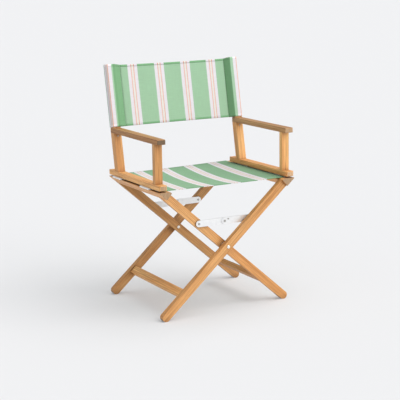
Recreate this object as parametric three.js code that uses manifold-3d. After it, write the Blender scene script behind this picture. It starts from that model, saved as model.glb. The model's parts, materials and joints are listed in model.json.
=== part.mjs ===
// Sideways-folding armchair: two crossed leg frames, two arm frames hinged on the seat rails,
// a canvas seat and a canvas back.
// Millimetres, +Z up. The chair faces -Y, X runs across it, and the floor is z = 0 when it stands open.
import * as THREE from 'three';
import { mergeVertices } from 'three/addons/utils/BufferGeometryUtils.js';
import Module from 'manifold-3d';

const wasm = await Module();
wasm.setup();

// ---------- driving dimensions ----------
const GAP = 0.3; // clearance between pieces that meet
const OVERCUT = 1; // cutting shapes reach this far past the face they open
const OPEN_ANGLE = THREE.MathUtils.degToRad(48.5); // each leg from upright when the chair is open

const LEG_WIDTH = 30;
const LEG_DEPTH = 21;
const LEG_BELOW = 340; // pivot to the middle of the round foot
const LEG_ABOVE = 316; // pivot to the underside of the seat rail
const OUTER_LEG_FACE = 220; // front and rear faces of the outer leg frame
const INNER_LEG_FACE = 187; // front and rear faces of the inner leg frame
const FOOT_FLAT = 0.6; // the round feet are worn flat by this much where they stand
const PIVOT_Z = LEG_WIDTH / 2 - FOOT_FLAT + LEG_BELOW * Math.cos(OPEN_ANGLE);

const STRETCHER_BELOW = 235; // pivot to the middle of the stretcher, along the leg
const STRETCHER_WIDTH = 30;
const STRETCHER_THICKNESS = 20;

const RAIL_TOP = 466; // flat top of the seat rails when open
const RAIL_TIP_X = 276; // blunt outer edge of the seat rails
const RAIL_FRONT = -228;
const RAIL_REAR_OUTER = 228; // the right rail reaches over the outer frame's rear leg
const RAIL_REAR_INNER = 187; // the left rail ends at the inner frame's rear leg

const ARM_INNER = 244;
const ARM_OUTER = 275;
const ARM_STOCK = 18;
const ARM_RAIL_Z = 472;
const ARMREST_Z = 631;
const ARM_FRONT = -228;
const ARM_REAR = 187;
const ARMREST_FRONT = -219;
const END_ROUND = 3; // upper and lower edges of the arm bars' front ends
const CORNER_ROUND = 8; // upright corners of the arm rails' front ends
const POST_INSET = 1; // the posts are this much narrower than the arm rails on each side
const FRONT_POST_Y = -194;
const BACK_POST_Y = 111; // front face where it leaves the arm rail
const BACK_POST_DEPTH = 28;
const BACK_LEAN = THREE.MathUtils.degToRad(10.5);
const POST_TOP = 877;

const TENON_LENGTH = 9;
const TENON_WIDTH = 12;
const TENON_DEPTH = 16;
const FRONT_TENON_DEPTH = 12; // the front posts' tenons are shallower
const BRIDLE_WALL = 5; // side walls of the armrest's rear fork
const FORK_SHORT = 1; // the fork's ends stop this short of the back post's rear face

const HINGE_LENGTH = 68;
const HINGE_MIDDLES = [-120, 110];
const HINGE_LEAF = 1.8;
const HINGE_LEAF_INNER = 252;
const HINGE_AXIS_X = 279.6;
const HINGE_AXIS_Z = 469;
const KNUCKLE_RADIUS = 3.2;
const KNUCKLE_BORE = 1.5;
const KNUCKLE_MIDDLE = 22; // length of the middle knuckle
const KNUCKLE_CLEARANCE = 0.6; // between a leaf and the other leaf's knuckles
const HINGE_PIN_RADIUS = 1.2;

const BOLT_RADIUS = 3;
const BOLT_HOLE = 3.4;
const BOLT_HEAD_RADIUS = 6;
const BOLT_HEAD_HEIGHT = 2.6;
const BOLT_HEAD_EASE = 1.4;
const BOLT_RECESS_RADIUS = 2.2;
const BOLT_RECESS = 1.2;
const NUT_RECESS = 0.8;
const BOLT_PAST_LEG = 1.4; // the shank's end inside the capped nut
const SPACER_RADIUS = 11;

const BRACE_ABOVE = 138; // pivot to the brace's end screws, along the leg
const LINK_WIDTH = 24;
const LINK_THICKNESS = 2.5;
const BRACE_SCREW_RADIUS = 2.5;
const BRACE_SCREW_HEAD = 4.4;
const BRACE_SCREW_CROWN = 3.6; // radius of the head's domed top
const BRACE_HEAD_HEIGHT = 1.8;
const BRACE_SCREW_IN_LEG = 16;
const BRACE_SCREW_SHORT = 0.6; // the open end's screw stops this far before the leg
const BRACE_WASHER_RADIUS = 8;
const RIVET_HEAD_RADIUS = 4.2;
const RIVET_HEAD_HEIGHT = 1.4;

const STOP_X = 14; // the stop beside the middle rivet, on the outer link
const STOP_Z = 6.5;
const STOP_RADIUS = 2.2;
const STOP_HEAD_RADIUS = 3;
const STOP_HEAD_HEIGHT = 1.2;

const POST_SCREW_BELOW = 11; // from the armrest's underside
const POST_SCREW_RADIUS = 1.5;
const POST_SCREW_HEAD = 2.6;
const POST_SCREW_CROWN = 1.6;
const POST_SCREW_HEIGHT = 1.5;
const POST_SCREW_LENGTH = 18;

const CLOTH = 2.4;
const SEAT_FRONT = -204;
const SEAT_REAR_LEFT = 190; // the rear edge runs aslant, because the right rail is the longer
const SEAT_REAR_RIGHT = 227.5;
const SEAT_SAG = 7;
const SEAT_EDGE = 250; // the cloth ends here, just inside the hinge leaves
const SEAT_FREE = 233; // and hangs free between the rails' inner edges
const BACK_BOTTOM = 652;
const BACK_TOP = 875;
const SLEEVE_SEAM = 22; // from the post to the seam of the sleeve
const SLEEVE_CLOTH = 1.6;
const SLEEVE_POINT = 5; // from the seam to the sleeve's pointed inside

// ---------- materials ----------
const WOOD = 0xd09a62;
const METAL = 0xe4e4e2;
const CANVAS = 0xa8d3ac;
const wood = () => new THREE.MeshStandardMaterial({ color: WOOD, roughness: 0.5, metalness: 0 });
const metal = () => new THREE.MeshStandardMaterial({ color: METAL, roughness: 0.25, metalness: 1 });
const canvasCloth = () => new THREE.MeshStandardMaterial({ color: CANVAS, roughness: 0.9, metalness: 0 });

// ---------- geometry helpers ----------
const ROUND_SEGMENTS = 20;
const SMALL_SEGMENTS = 12;
const FOOT_SEGMENTS = 10;
const LINK_SEGMENTS = 6;

// A closed mesh as a solid that can be cut, and back again.
function toSolid(geometry) {
  const bare = geometry.clone();
  bare.deleteAttribute('normal');
  bare.deleteAttribute('uv');
  const merged = mergeVertices(bare, 1e-4);
  return new wasm.Manifold(new wasm.Mesh({
    numProp: 3,
    vertProperties: new Float32Array(merged.attributes.position.array),
    triVerts: new Uint32Array(merged.index.array),
  }));
}

function toGeometry(solid) {
  const { vertProperties, triVerts } = solid.getMesh();
  const geometry = new THREE.BufferGeometry();
  geometry.setAttribute('position', new THREE.BufferAttribute(new Float32Array(vertProperties), 3));
  geometry.setIndex(new THREE.BufferAttribute(new Uint32Array(triVerts), 1));
  geometry.computeVertexNormals();
  return geometry;
}

function cut(geometry, tools) {
  let solid = toSolid(geometry);
  for (const tool of tools) solid = solid.subtract(toSolid(tool));
  return toGeometry(solid);
}

function join(geometry, extras) {
  let solid = toSolid(geometry);
  for (const extra of extras) solid = solid.add(toSolid(extra));
  return toGeometry(solid);
}

function box([x0, x1], [y0, y1], [z0, z1]) {
  const geometry = new THREE.BoxGeometry(x1 - x0, y1 - y0, z1 - z0);
  return geometry.translate((x0 + x1) / 2, (y0 + y1) / 2, (z0 + z1) / 2);
}

function polygon(points) {
  return new THREE.Shape(points.map(([u, v]) => new THREE.Vector2(u, v)));
}

function circle(u, v, radius) {
  return new THREE.Path().absarc(u, v, radius, 0, Math.PI * 2);
}

// An outline in X and Z, extruded from y0 to y1.
function prismY(shape, y0, y1, curveSegments) {
  const geometry = new THREE.ExtrudeGeometry(shape, { depth: y1 - y0, bevelEnabled: false, curveSegments });
  return geometry.rotateX(Math.PI / 2).translate(0, y1, 0);
}

// An outline in Y and Z, extruded from x0 to x1.
function prismX(shape, x0, x1) {
  const geometry = new THREE.ExtrudeGeometry(shape, { depth: x1 - x0, bevelEnabled: false });
  const turn = new THREE.Matrix4().makeBasis(
    new THREE.Vector3(0, 1, 0),
    new THREE.Vector3(0, 0, 1),
    new THREE.Vector3(1, 0, 0),
  );
  return geometry.applyMatrix4(turn).translate(x0, 0, 0);
}

// A turned piece about the Y axis: profile points are [radius, y], closed on the axis.
function turnedY(profile, segments = ROUND_SEGMENTS) {
  return new THREE.LatheGeometry(profile.map(([r, y]) => new THREE.Vector2(r, y)), segments);
}

// A ring about the Y axis.
function ringY(inner, outer, y0, y1, segments = ROUND_SEGMENTS) {
  return turnedY([[inner, y0], [outer, y0], [outer, y1], [inner, y1], [inner, y0]], segments);
}

// A plain rod about the Y axis.
function rodY(radius, y0, y1) {
  return turnedY([[0, y0], [radius, y0], [radius, y1], [0, y1]], SMALL_SEGMENTS);
}

// Where a point of the right-leaning leg lies, from its distance along and across the leg.
function legPoint(along, across) {
  const s = Math.sin(OPEN_ANGLE);
  const c = Math.cos(OPEN_ANGLE);
  return [along * s + across * c, PIVOT_Z + along * c - across * s];
}

function ordered(a, b) {
  return a < b ? [a, b] : [b, a];
}

// ---------- scene graph ----------
const chair = new THREE.Group();

function add(parent, name, geometry, material) {
  const mesh = new THREE.Mesh(geometry, material);
  mesh.name = name;
  parent.add(mesh);
  return mesh;
}

function tiltedGroup(side) {
  const group = new THREE.Group();
  group.position.z = PIVOT_Z;
  group.rotation.y = side * OPEN_ANGLE;
  chair.add(group);
  return group;
}

// ---------- leg frames ----------
const LEG_HALF = LEG_WIDTH / 2;
const MORTISE = [TENON_WIDTH / 2, TENON_DEPTH / 2];

function legShape() {
  const shape = new THREE.Shape();
  shape.moveTo(-LEG_HALF, LEG_ABOVE - GAP);
  shape.lineTo(-LEG_HALF, -LEG_BELOW);
  shape.absarc(0, -LEG_BELOW, LEG_HALF, Math.PI, Math.PI * 2);
  shape.lineTo(LEG_HALF, LEG_ABOVE - GAP);
  shape.closePath();
  shape.holes.push(circle(0, 0, BOLT_HOLE));
  return shape;
}

// The blind hole that takes a brace's screw in the outward face of an inner leg.
function braceHole(outerFace, end) {
  const bottom = end * (outerFace - BRACE_SCREW_IN_LEG - GAP);
  const mouth = end * (outerFace + OVERCUT);
  return rodY(BRACE_SCREW_RADIUS + GAP, ...ordered(bottom, mouth)).translate(0, 0, BRACE_ABOVE);
}

// A leg with the blind mortise for the stretcher in the face that looks into the chair.
function leg(outerFace, end, withBraceHole, side) {
  const [y0, y1] = ordered(end * outerFace, end * (outerFace - LEG_DEPTH));
  const inside = end * (outerFace - LEG_DEPTH);
  const mortise = box(
    [-MORTISE[0], MORTISE[0]],
    ordered(inside - end * OVERCUT, inside + end * TENON_LENGTH),
    [-STRETCHER_BELOW - MORTISE[1], -STRETCHER_BELOW + MORTISE[1]],
  );
  const floor = box([-LEG_BELOW, LEG_BELOW], [y0 - OVERCUT, y1 + OVERCUT], [-LEG_WIDTH, 0]);
  floor.translate(0, 0, -PIVOT_Z).rotateY(-side * OPEN_ANGLE);
  const tools = [mortise, floor];
  if (withBraceHole) tools.push(braceHole(outerFace, end));
  return cut(prismY(legShape(), y0, y1, FOOT_SEGMENTS), tools);
}

function stretcher(outerFace) {
  const reach = outerFace - LEG_DEPTH - GAP;
  const halfWidth = STRETCHER_WIDTH / 2;
  const halfThickness = STRETCHER_THICKNESS / 2;
  const tenonReach = reach + TENON_LENGTH - GAP;
  const bar = box([-halfThickness, halfThickness], [-reach, reach], [-halfWidth, halfWidth]);
  const tenon = box(
    [-MORTISE[0] + GAP, MORTISE[0] - GAP],
    [-tenonReach, tenonReach],
    [-MORTISE[1] + GAP, MORTISE[1] - GAP],
  );
  return join(bar, [tenon]);
}

// The rail's five-sided section: bevelled below to stand square on the leg, and level on top.
function railShape(side) {
  const s = Math.sin(OPEN_ANGLE);
  const c = Math.cos(OPEN_ANGLE);
  const outline = [
    legPoint(LEG_ABOVE, -LEG_HALF),
    legPoint((RAIL_TOP - PIVOT_Z - LEG_HALF * s) / c, -LEG_HALF),
    [RAIL_TIP_X, RAIL_TOP],
    legPoint((RAIL_TIP_X - LEG_HALF * c) / s, LEG_HALF),
    legPoint(LEG_ABOVE, LEG_HALF),
  ];
  return polygon(outline.map(([x, z]) => [side * x, z]));
}

// The tenon on top of a leg, or the mortise for it in the rail, in the leg frame's own axes.
function legTenon(y, shrink) {
  return box(
    [-TENON_DEPTH / 2 + shrink, TENON_DEPTH / 2 - shrink],
    [y - TENON_WIDTH / 2 + shrink, y + TENON_WIDTH / 2 - shrink],
    [LEG_ABOVE - GAP - OVERCUT, LEG_ABOVE + TENON_LENGTH - shrink],
  );
}

function buildLegFrame(side, word, outerFace, railRear, railWord) {
  const frame = tiltedGroup(side);
  const inner = outerFace === INNER_LEG_FACE;
  const placed = new THREE.Matrix4().makeTranslation(0, 0, PIVOT_Z)
    .multiply(new THREE.Matrix4().makeRotationY(side * OPEN_ANGLE));
  const mortises = [];
  for (const [end, where] of [[-1, 'front'], [1, 'rear']]) {
    const y = end * (outerFace - LEG_DEPTH / 2);
    const tenoned = join(leg(outerFace, end, inner, side), [legTenon(y, GAP)]);
    add(frame, `${word}_leg_${where}`, tenoned, wood());
    mortises.push(legTenon(y, 0).applyMatrix4(placed));
  }
  add(frame, `${word}_stretcher`, stretcher(outerFace), wood()).position.z = -STRETCHER_BELOW;
  const rail = cut(prismY(railShape(side), RAIL_FRONT, railRear), mortises);
  add(chair, `seat_rail_${railWord}`, rail, wood());
}

buildLegFrame(1, 'outer', OUTER_LEG_FACE, RAIL_REAR_OUTER, 'right');
buildLegFrame(-1, 'inner', INNER_LEG_FACE, RAIL_REAR_INNER, 'left');

// ---------- main pivots ----------
// The bolt's head and its capped nut look alike, each a low dome with a round recess.
function buildPivot(end, where) {
  const outside = OUTER_LEG_FACE + GAP;
  const inside = INNER_LEG_FACE - LEG_DEPTH - GAP;
  const headTop = outside + BOLT_HEAD_HEIGHT;
  const shankEnd = inside - BOLT_PAST_LEG;
  const crown = BOLT_HEAD_RADIUS - BOLT_HEAD_EASE;
  const nutTop = inside - BOLT_HEAD_HEIGHT;
  const bolt = [
    [0, -shankEnd],
    [BOLT_RADIUS, -shankEnd],
    [BOLT_RADIUS, -outside],
    [BOLT_HEAD_RADIUS, -outside],
    [BOLT_HEAD_RADIUS, -outside - BOLT_HEAD_HEIGHT / 2],
    [crown, -headTop],
    [BOLT_RECESS_RADIUS, -headTop],
    [BOLT_RECESS_RADIUS, -headTop + BOLT_RECESS],
    [0, -headTop + BOLT_RECESS],
  ];
  const nut = [
    [0, -nutTop - NUT_RECESS],
    [BOLT_RECESS_RADIUS, -nutTop - NUT_RECESS],
    [BOLT_RECESS_RADIUS, -nutTop],
    [crown, -nutTop],
    [BOLT_HEAD_RADIUS, -inside + BOLT_HEAD_HEIGHT / 2],
    [BOLT_HEAD_RADIUS, -inside],
    [BOLT_RADIUS + GAP, -inside],
    [BOLT_RADIUS + GAP, -shankEnd + GAP],
    [0, -shankEnd + GAP],
  ];
  const spacerHalf = (OUTER_LEG_FACE - LEG_DEPTH - INNER_LEG_FACE) / 2 - GAP;
  const spacerMiddle = (OUTER_LEG_FACE - LEG_DEPTH + INNER_LEG_FACE) / 2;
  const spacer = ringY(BOLT_HOLE, SPACER_RADIUS, -spacerMiddle - spacerHalf, -spacerMiddle + spacerHalf);
  const group = new THREE.Group();
  group.position.z = PIVOT_Z;
  if (end > 0) group.rotation.z = Math.PI;
  chair.add(group);
  add(group, `pivot_bolt_${where}`, turnedY(bolt.reverse()), metal());
  add(group, `pivot_nut_${where}`, turnedY(nut.reverse()), metal());
  add(group, `pivot_spacer_${where}`, spacer, metal());
}

buildPivot(-1, 'front');
buildPivot(1, 'rear');

// ---------- arm frames ----------
const ARMREST_TOP = ARMREST_Z + ARM_STOCK;
const RAIL_UPPER = ARM_RAIL_Z + ARM_STOCK;
const LEAN = Math.tan(BACK_LEAN);
const BACK_DEPTH_LEVEL = BACK_POST_DEPTH / Math.cos(BACK_LEAN); // measured level, front to back

function backFrontAt(z) {
  return BACK_POST_Y + (z - RAIL_UPPER) * LEAN;
}

// Outline of the back post in Y and Z, grown by a margin in Y.
function backPostShape(z0, z1, margin) {
  return polygon([
    [backFrontAt(z0) - margin, z0],
    [backFrontAt(z0) + BACK_DEPTH_LEVEL + margin, z0],
    [backFrontAt(z1) + BACK_DEPTH_LEVEL + margin, z1],
    [backFrontAt(z1) - margin, z1],
  ]);
}

// Outline of an arm rail or armrest in Y and Z, with its front end eased.
function armBarShape(front, rear, z) {
  const shape = new THREE.Shape();
  const top = z + ARM_STOCK;
  shape.moveTo(rear, z);
  shape.lineTo(rear, top);
  shape.lineTo(front + END_ROUND, top);
  shape.absarc(front + END_ROUND, top - END_ROUND, END_ROUND, Math.PI / 2, Math.PI);
  shape.lineTo(front, z + END_ROUND);
  shape.absarc(front + END_ROUND, z + END_ROUND, END_ROUND, Math.PI, Math.PI * 1.5);
  shape.closePath();
  return shape;
}

// What is cut away to round an upright front corner; side is -1 or 1 for the corner's own side.
function cornerWaste(x, y, side, z0, z1) {
  const waste = new THREE.Shape();
  const centre = x - side * CORNER_ROUND;
  const edge = x + side * OVERCUT;
  const middle = side > 0 ? 0 : Math.PI;
  waste.moveTo(edge, -y - CORNER_ROUND);
  waste.lineTo(edge, -y + OVERCUT);
  waste.lineTo(centre, -y + OVERCUT);
  waste.lineTo(centre, -y);
  waste.absarc(centre, -y - CORNER_ROUND, CORNER_ROUND, Math.PI / 2, middle, side > 0);
  waste.closePath();
  const height = z1 - z0 + 2 * OVERCUT;
  const geometry = new THREE.ExtrudeGeometry(waste, { depth: height, bevelEnabled: false, curveSegments: 6 });
  return geometry.rotateX(Math.PI).translate(0, 0, z1 + OVERCUT);
}

// An upright tenon of the given depth front to back, or the mortise for it.
function tenonBox(x, y, depth, z0, z1, shrink) {
  const halfX = TENON_WIDTH / 2 - shrink;
  const halfY = depth / 2 - shrink;
  return box([x - halfX, x + halfX], [y - halfY, y + halfY], [z0, z1]);
}

// A small round-headed screw in the front face of each back post, just under the armrest.
function postScrew() {
  return turnedY([
    [0, -GAP - POST_SCREW_HEIGHT],
    [POST_SCREW_CROWN, -GAP - POST_SCREW_HEIGHT],
    [POST_SCREW_HEAD, -GAP - POST_SCREW_HEIGHT / 4],
    [POST_SCREW_HEAD, -GAP],
    [POST_SCREW_RADIUS, -GAP],
    [POST_SCREW_RADIUS, POST_SCREW_LENGTH - GAP],
    [0, POST_SCREW_LENGTH - GAP],
  ], SMALL_SEGMENTS);
}

function frontPost(x0, x1, middle, frontY) {
  const half = ARM_STOCK / 2;
  const body = box([x0, x1], [frontY - half, frontY + half], [RAIL_UPPER + GAP, ARMREST_Z - GAP]);
  const low = RAIL_UPPER - TENON_LENGTH + GAP;
  const high = ARMREST_Z + TENON_LENGTH - GAP;
  return join(body, [tenonBox(middle, frontY, FRONT_TENON_DEPTH, low, high, GAP)]);
}

// The post is narrowed to a neck where it passes through the armrest's fork.
function backPost(x0, x1, neck, middle, tenonY, screwPlace) {
  const low = RAIL_UPPER - TENON_LENGTH + GAP;
  const foot = tenonBox(middle, tenonY, TENON_DEPTH, low, RAIL_UPPER + GAP + OVERCUT, GAP);
  const body = join(prismX(backPostShape(RAIL_UPPER + GAP, POST_TOP, 0), x0, x1), [foot]);
  const housing = backPostShape(ARMREST_Z - GAP, ARMREST_TOP + GAP, OVERCUT);
  const screwHole = rodY(POST_SCREW_RADIUS + GAP, -OVERCUT, POST_SCREW_LENGTH + GAP);
  return cut(body, [
    prismX(housing, x0 - OVERCUT, neck[0] + GAP),
    prismX(housing, neck[1] - GAP, x1 + OVERCUT),
    screwHole.applyMatrix4(screwPlace),
  ]);
}

function armrest(x0, x1, neck, middle, frontY) {
  const low = ARMREST_Z - OVERCUT;
  const high = ARMREST_TOP + OVERCUT;
  const rear = backFrontAt(ARMREST_Z) + BACK_DEPTH_LEVEL - FORK_SHORT;
  const fork = polygon([
    [backFrontAt(low) - GAP, low],
    [rear + OVERCUT, low],
    [rear + OVERCUT, high],
    [backFrontAt(high) - GAP, high],
  ]);
  return cut(prismX(armBarShape(ARMREST_FRONT, rear, ARMREST_Z), x0, x1), [
    tenonBox(middle, frontY, FRONT_TENON_DEPTH, low, ARMREST_Z + TENON_LENGTH, 0),
    prismX(fork, neck[0], neck[1]),
  ]);
}

function armRail(x0, x1, middle, frontY, tenonY) {
  const low = RAIL_UPPER - TENON_LENGTH;
  const high = RAIL_UPPER + OVERCUT;
  return cut(prismX(armBarShape(ARM_FRONT, ARM_REAR, ARM_RAIL_Z), x0, x1), [
    tenonBox(middle, frontY, FRONT_TENON_DEPTH, low, high, 0),
    tenonBox(middle, tenonY, TENON_DEPTH, low, high, 0),
    cornerWaste(x0, ARM_FRONT, -1, ARM_RAIL_Z, RAIL_UPPER),
    cornerWaste(x1, ARM_FRONT, 1, ARM_RAIL_Z, RAIL_UPPER),
  ]);
}

function buildArm(side, word) {
  const [x0, x1] = ordered(side * ARM_INNER, side * ARM_OUTER);
  const [p0, p1] = [x0 + POST_INSET, x1 - POST_INSET];
  const middle = (x0 + x1) / 2;
  const neck = [x0 + BRIDLE_WALL, x1 - BRIDLE_WALL];
  const frontY = FRONT_POST_Y + ARM_STOCK / 2;
  const tenonY = BACK_POST_Y + BACK_DEPTH_LEVEL / 2;
  const screwZ = ARMREST_Z - POST_SCREW_BELOW;
  const screwPlace = new THREE.Matrix4()
    .makeTranslation(middle, backFrontAt(screwZ), screwZ)
    .multiply(new THREE.Matrix4().makeRotationX(-BACK_LEAN));

  add(chair, `arm_rail_${word}`, armRail(x0, x1, middle, frontY, tenonY), wood());
  add(chair, `armrest_${word}`, armrest(x0, x1, neck, middle, frontY), wood());
  add(chair, `front_post_${word}`, frontPost(p0, p1, middle, frontY), wood());
  add(chair, `back_post_${word}`, backPost(p0, p1, neck, middle, tenonY, screwPlace), wood());
  add(chair, `post_screw_${word}`, postScrew().applyMatrix4(screwPlace), metal());
}

buildArm(1, 'right');
buildArm(-1, 'left');

// ---------- hinges between the arm rails and the seat rails ----------
function knuckle(y0, y1) {
  return ringY(KNUCKLE_BORE, KNUCKLE_RADIUS, y0, y1, SMALL_SEGMENTS);
}

// A leaf and its knuckles about the hinge axis; the leaf lies between two heights beside the axis.
function hingeLeaf(side, z0, z1, spans) {
  const inner = -side * (HINGE_AXIS_X - HINGE_LEAF_INNER);
  const near = -side * (KNUCKLE_BORE + KNUCKLE_CLEARANCE);
  const leafEnd = -side * (KNUCKLE_RADIUS + KNUCKLE_CLEARANCE);
  const half = HINGE_LENGTH / 2;
  const plate = box(ordered(inner, leafEnd), [-half, half], [z0, z1]);
  const tabs = spans.map(([y0, y1]) => box(ordered(leafEnd - side, near), [y0, y1], [z0, z1]));
  const knuckles = spans.map(([y0, y1]) => knuckle(y0, y1));
  return cut(join(plate, [...tabs, ...knuckles]), [rodY(KNUCKLE_BORE, -half - OVERCUT, half + OVERCUT)]);
}

function buildHinge(side, word, y, place) {
  const group = new THREE.Group();
  group.position.set(side * HINGE_AXIS_X, y, HINGE_AXIS_Z);
  chair.add(group);
  const half = HINGE_LENGTH / 2;
  const inner = KNUCKLE_MIDDLE / 2;
  const upperZ = ARM_RAIL_Z - GAP - HINGE_AXIS_Z;
  const lowerZ = RAIL_TOP + GAP - HINGE_AXIS_Z;
  const upper = hingeLeaf(side, upperZ - HINGE_LEAF, upperZ, [[-inner + GAP, inner - GAP]]);
  const lower = hingeLeaf(side, lowerZ, lowerZ + HINGE_LEAF, [[-half, -inner], [inner, half]]);
  add(group, `hinge_arm_leaf_${word}_${place}`, upper, metal());
  add(group, `hinge_seat_leaf_${word}_${place}`, lower, metal());
  add(group, `hinge_pin_${word}_${place}`, rodY(HINGE_PIN_RADIUS, -half, half), metal());
}

for (const [side, word] of [[1, 'right'], [-1, 'left']]) {
  buildHinge(side, word, HINGE_MIDDLES[0], 'front');
  buildHinge(side, word, HINGE_MIDDLES[1], 'rear');
}

// ---------- folding braces ----------
// Two flat links meet at a rivet in the middle, and lie straight when the chair is open.
const BRACE_REACH = BRACE_ABOVE * Math.sin(OPEN_ANGLE);
const BRACE_Z = PIVOT_Z + BRACE_ABOVE * Math.cos(OPEN_ANGLE);
const LINK_GAP_MIDDLE = (OUTER_LEG_FACE - LEG_DEPTH + INNER_LEG_FACE) / 2;

function linkShape(x0, x1) {
  const r = LINK_WIDTH / 2;
  const shape = new THREE.Shape();
  shape.moveTo(x0, -r);
  shape.lineTo(x1, -r);
  shape.absarc(x1, 0, r, -Math.PI / 2, Math.PI / 2);
  shape.lineTo(x0, r);
  shape.absarc(x0, 0, r, Math.PI / 2, Math.PI * 1.5);
  shape.holes.push(circle(x0, 0, BRACE_SCREW_RADIUS + GAP));
  shape.holes.push(circle(x1, 0, BRACE_SCREW_RADIUS + GAP));
  return shape;
}

// A small riveted stop in the outer link, flush towards the inner link.
function braceStop(flush, face, inward) {
  const top = face - inward * (GAP + STOP_HEAD_HEIGHT);
  const shank = rodY(STOP_RADIUS, ...ordered(flush, face - inward * GAP));
  return join(shank, [rodY(STOP_HEAD_RADIUS, ...ordered(face - inward * GAP, top))]);
}

// Screw through a link: the head lies on the link, and the shank runs towards the leg.
function braceScrew(headY, direction, length) {
  const top = headY - direction * BRACE_HEAD_HEIGHT;
  const tip = headY + direction * length;
  const profile = [
    [0, top],
    [BRACE_SCREW_CROWN, top],
    [BRACE_SCREW_HEAD, headY],
    [BRACE_SCREW_RADIUS, headY],
    [BRACE_SCREW_RADIUS, tip],
    [0, tip],
  ];
  return turnedY(direction > 0 ? profile : profile.reverse(), SMALL_SEGMENTS);
}

// A washer between a link and the leg beside it.
function braceWasher(y0, y1) {
  return ringY(BRACE_SCREW_RADIUS + GAP, BRACE_WASHER_RADIUS, ...ordered(y0, y1), SMALL_SEGMENTS);
}

// The rivet, with a flat head on each side of the two links.
function braceRivet(near, far, inward) {
  const shank = rodY(BRACE_SCREW_RADIUS, ...ordered(near, far));
  const headNear = ordered(near, near - inward * RIVET_HEAD_HEIGHT);
  const headFar = ordered(far, far + inward * RIVET_HEAD_HEIGHT);
  return join(shank, [rodY(RIVET_HEAD_RADIUS, ...headNear), rodY(RIVET_HEAD_RADIUS, ...headFar)]);
}

// Each link lies on its own side of the middle plane; inward is towards the middle of the chair.
function buildBrace(end, where) {
  const group = new THREE.Group();
  group.position.z = BRACE_Z;
  group.position.y = end * LINK_GAP_MIDDLE;
  chair.add(group);
  const inward = -end;
  const toLeg = inward * (OUTER_LEG_FACE - LEG_DEPTH - INNER_LEG_FACE) / 2;
  const near = inward * GAP / 2;
  const face = near + inward * LINK_THICKNESS;
  const clear = inward * GAP;
  const innerLink = prismY(linkShape(-BRACE_REACH, 0), ...ordered(near, face), LINK_SEGMENTS);
  const outerShape = linkShape(0, BRACE_REACH);
  outerShape.holes.push(circle(STOP_X, STOP_Z, STOP_RADIUS + GAP));
  const outerLink = prismY(outerShape, ...ordered(-near, -face), LINK_SEGMENTS);
  add(group, `brace_link_inner_${where}`, innerLink, metal());
  add(group, `brace_link_outer_${where}`, outerLink, metal());
  add(group, `brace_rivet_${where}`, braceRivet(-face - clear, face + clear, inward), metal());
  add(group, `brace_stop_${where}`, braceStop(-near, -face, inward), metal()).position.set(STOP_X, 0, STOP_Z);

  // The inner screw goes into the inner leg; its head lies on the far side of its link.
  const innerLength = Math.abs(toLeg) + BRACE_SCREW_IN_LEG;
  const innerScrew = braceScrew(near - clear, inward, innerLength);
  const innerWasher = braceWasher(face + clear, toLeg - clear);
  add(group, `brace_screw_inner_${where}`, innerScrew, metal()).position.x = -BRACE_REACH;
  add(group, `brace_washer_inner_${where}`, innerWasher, metal()).position.x = -BRACE_REACH;

  // The outer screw stops short of the outer leg, where the linkage is left open.
  const outerLength = Math.abs(toLeg) - GAP - BRACE_SCREW_SHORT;
  const outerScrew = braceScrew(clear - near, -inward, outerLength);
  const outerWasher = braceWasher(-face - clear, clear - toLeg);
  add(group, `brace_screw_outer_${where}`, outerScrew, metal()).position.x = BRACE_REACH;
  add(group, `brace_washer_outer_${where}`, outerWasher, metal()).position.x = BRACE_REACH;
}

buildBrace(-1, 'front');
buildBrace(1, 'rear');

// ---------- canvas ----------
// The seat lies on the level tops of the rails and hangs between them.
function seatShape() {
  const steps = 16;
  const under = RAIL_TOP + GAP;
  const upper = [[-SEAT_EDGE, under + CLOTH]];
  const lower = [[-SEAT_EDGE, under]];
  for (let i = 0; i <= steps; i += 1) {
    const x = SEAT_FREE * ((2 * i) / steps - 1);
    const drop = SEAT_SAG * (1 - (x / SEAT_FREE) ** 2);
    upper.push([x, under + CLOTH - drop]);
    lower.push([x, under - drop]);
  }
  upper.push([SEAT_EDGE, under + CLOTH]);
  lower.push([SEAT_EDGE, under]);
  return polygon([...lower, ...upper.reverse()]);
}

function seatCloth() {
  const slant = (SEAT_REAR_RIGHT - SEAT_REAR_LEFT) / (2 * SEAT_EDGE);
  const far = SEAT_EDGE + OVERCUT;
  const middle = (SEAT_REAR_LEFT + SEAT_REAR_RIGHT) / 2;
  const rear = SEAT_REAR_RIGHT + OVERCUT;
  const height = SEAT_SAG + CLOTH + 2 * OVERCUT;
  const plan = polygon([
    [-far, middle - slant * far],
    [far, middle + slant * far],
    [far, rear + OVERCUT],
    [-far, rear + OVERCUT],
  ]);
  const beyond = new THREE.ExtrudeGeometry(plan, { depth: height, bevelEnabled: false })
    .translate(0, 0, RAIL_TOP + GAP - SEAT_SAG - OVERCUT);
  return cut(prismY(seatShape(), SEAT_FRONT, rear), [beyond]);
}

add(chair, 'seat_canvas', seatCloth(), canvasCloth());

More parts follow.
